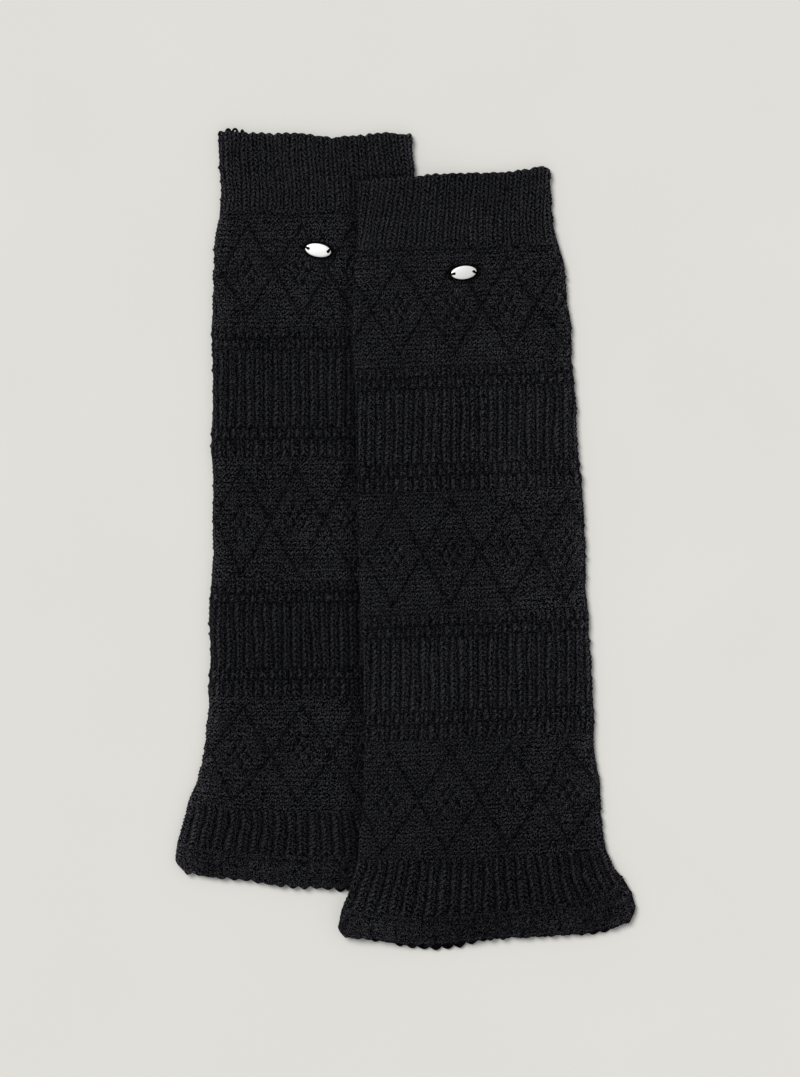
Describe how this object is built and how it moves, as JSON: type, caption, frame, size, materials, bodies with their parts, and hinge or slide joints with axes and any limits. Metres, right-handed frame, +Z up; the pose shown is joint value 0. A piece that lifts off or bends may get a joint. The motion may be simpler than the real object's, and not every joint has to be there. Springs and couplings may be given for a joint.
{
  "type": "pair of leg warmers",
  "caption": "Pair of black knitted leg warmers laid flat, one partly over the other, with ribbed cuffs, diamond and rib panels, flared hems and small oval metal plates.",
  "frame": {"origin": "middle of the pair's bounding box, at the level of the surface it lies on", "axes": "+Y towards the cuffs, along the legs; +X to the right across them, from the lower warmer to the upper one; +Z up from the surface"},
  "size_m": [0.2893, 0.5123, 0.011],
  "materials": {
    "rib_knit": "black rib knit, matt, slightly fuzzy",
    "diamond_knit": "black patterned knit, matt, slightly fuzzy",
    "hem_knit": "black bound hem, matt, slightly fuzzy",
    "plate_metal": "satin polished nickel",
    "sewing_thread": "black twisted sewing thread"
  },
  "bodies": {
    "root": {"lower_cuff": "rib_knit", "lower_leg": "diamond_knit", "lower_flare": "rib_knit", "lower_hem": "hem_knit", "lower_plate": "plate_metal", "lower_tie_left": "sewing_thread", "lower_tie_right": "sewing_thread", "upper_cuff": "rib_knit", "upper_leg": "diamond_knit", "upper_flare": "rib_knit", "upper_hem": "hem_knit", "upper_plate": "plate_metal", "upper_tie_left": "sewing_thread", "upper_tie_right": "sewing_thread"}
  },
  "joints": []
}
